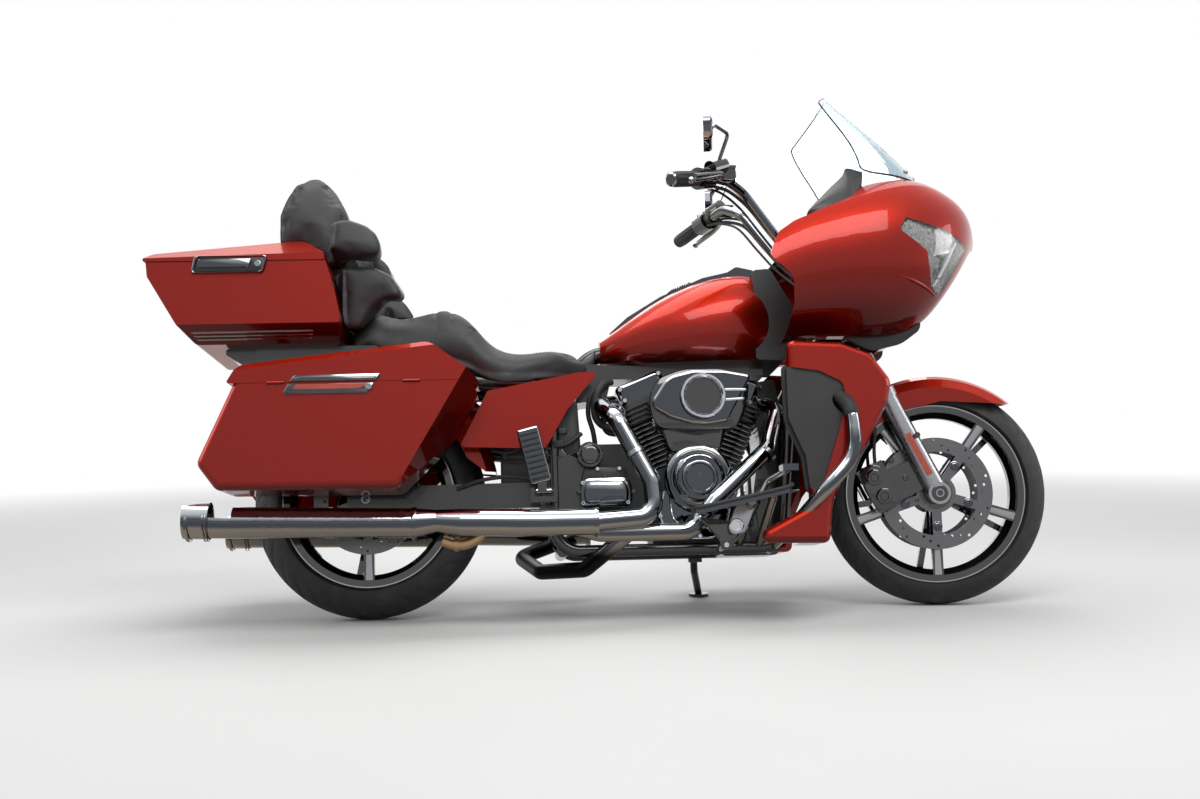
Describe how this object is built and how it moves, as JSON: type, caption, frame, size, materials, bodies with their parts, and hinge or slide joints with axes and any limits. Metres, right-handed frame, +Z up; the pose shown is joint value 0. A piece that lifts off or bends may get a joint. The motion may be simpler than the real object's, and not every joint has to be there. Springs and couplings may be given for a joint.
{
  "type": "touring motorcycle",
  "caption": "V-twin touring cruiser motorcycle with a frame-mounted fairing, hard saddlebags and a top case, parked on its side stand with steering, wheels, lids and stand that move.",
  "frame": {"origin": "bottom centre of the bounding box, on the floor both tyres and the stand's foot rest on", "axes": "+X forward, +Y to the rider's left, +Z up; the machine leans to +Y on its side stand"},
  "size_m": [2.5301, 1.105, 1.4848],
  "materials": {
    "alloy": "satin",
    "black_metal": "gloss",
    "black_plastic": "satin",
    "chrome": "mirror",
    "engine": "satin black with bright fin edges",
    "glass": "clear",
    "leather": "grained",
    "paint": "metallic gloss",
    "paint_shell": "metallic gloss",
    "red_lens": "gloss",
    "rubber": "matt",
    "steel": "satin",
    "tyre": "matt"
  },
  "bodies": {
    "chassis": {"frame": "black_metal", "swingarm": "black_metal", "rear_axle": "steel", "cylinders": "engine", "rocker_covers": "chrome", "crankcase": "engine", "timing_cover": "chrome", "transmission": "engine", "primary_cover": "chrome", "air_cleaner": "chrome", "mufflers": "chrome", "exhaust_headers": "chrome", "fuel_tank": "paint", "tank_console": "chrome", "seat": "leather", "rear_fender": "paint", "side_covers": "paint_shell", "saddlebags": "paint_shell", "case_base": "paint_shell", "case_rack": "black_metal", "backrest": "leather", "headlamps": "glass", "fairing_shell": "paint_shell", "fairing_inner": "black_plastic", "windscreen": "glass", "lower_fairings": "paint_shell", "leg_pods": "black_plastic", "crash_bars": "chrome", "floorboards": "chrome", "foot_controls": "chrome", "frame_brackets": "black_metal", "cooler": "black_metal", "head_cover": "black_plastic", "shocks": "black_metal", "rear_caliper": "black_metal", "tail_lamps": "red_lens", "drive_belt": "rubber"},
    "steering": {"fork_sliders": "alloy", "fork_yokes": "black_metal", "front_axle": "steel", "front_fender": "paint", "handlebar": "chrome", "grips": "rubber", "hand_controls": "black_metal", "mirrors": "chrome", "brake_calipers": "black_metal"},
    "front_wheel": {"front_tyre": "tyre", "front_rim": "alloy", "front_discs": "steel"},
    "rear_wheel": {"rear_tyre": "tyre", "rear_rim": "alloy", "rear_disc": "steel", "rear_pulley": "black_metal"},
    "bag_lid_right": {"bag_lid_right": "paint_shell"},
    "bag_lid_left": {"bag_lid_left": "paint_shell"},
    "case_lid": {"case_lid": "paint_shell", "backrest_top": "leather"},
    "footboard_right": {"footboard_right": "chrome"},
    "footboard_left": {"footboard_left": "chrome"},
    "side_stand": {"side_stand": "black_metal"}
  },
  "joints": [
    {"name": "steer", "type": "hinge", "parent": "chassis", "child": "steering", "pos_m": [0.67845, -0.04882, 0.89241], "axis": [-0.4394, 0.1344, 0.8882], "range_deg": [-19, 35]},
    {"name": "front_spin", "type": "hinge", "parent": "steering", "child": "front_wheel", "pos_m": [0.94816, -0.13391, 0.31802], "axis": [0.1252, 0.9883, -0.0876], "continuous": true},
    {"name": "rear_spin", "type": "hinge", "parent": "chassis", "child": "rear_wheel", "pos_m": [-0.67696, -0.13443, 0.32483], "axis": [0.0002, 0.9888, -0.1495], "continuous": true},
    {"name": "stand", "type": "hinge", "parent": "chassis", "child": "side_stand", "pos_m": [0.26326, 0.02414, 0.13047], "axis": [0.0002, 0.9888, -0.1495], "range_deg": [0, 95]},
    {"name": "bag_lid_right_hinge", "type": "hinge", "parent": "chassis", "child": "bag_lid_right", "pos_m": [-0.67735, -0.52101, 0.67103], "axis": [1, 0, 0.0011], "range_deg": [0, 80]},
    {"name": "bag_lid_left_hinge", "type": "hinge", "parent": "chassis", "child": "bag_lid_left", "pos_m": [-0.6772, 0.33724, 0.54123], "axis": [-1, 0, -0.0011], "range_deg": [0, 80]},
    {"name": "case_lid_hinge", "type": "hinge", "parent": "chassis", "child": "case_lid", "pos_m": [-1.01763, 0.2394, 0.92379], "axis": [-1, 0, -0.0011], "range_deg": [0, 85]},
    {"name": "footboard_right_fold", "type": "hinge", "parent": "chassis", "child": "footboard_right", "pos_m": [-0.18701, -0.39311, 0.36703], "axis": [1, 0, 0.0011], "range_deg": [0, 85]},
    {"name": "footboard_left_fold", "type": "hinge", "parent": "chassis", "child": "footboard_left", "pos_m": [-0.18692, 0.125, 0.28867], "axis": [-1, 0, -0.0011], "range_deg": [0, 85]}
  ]
}
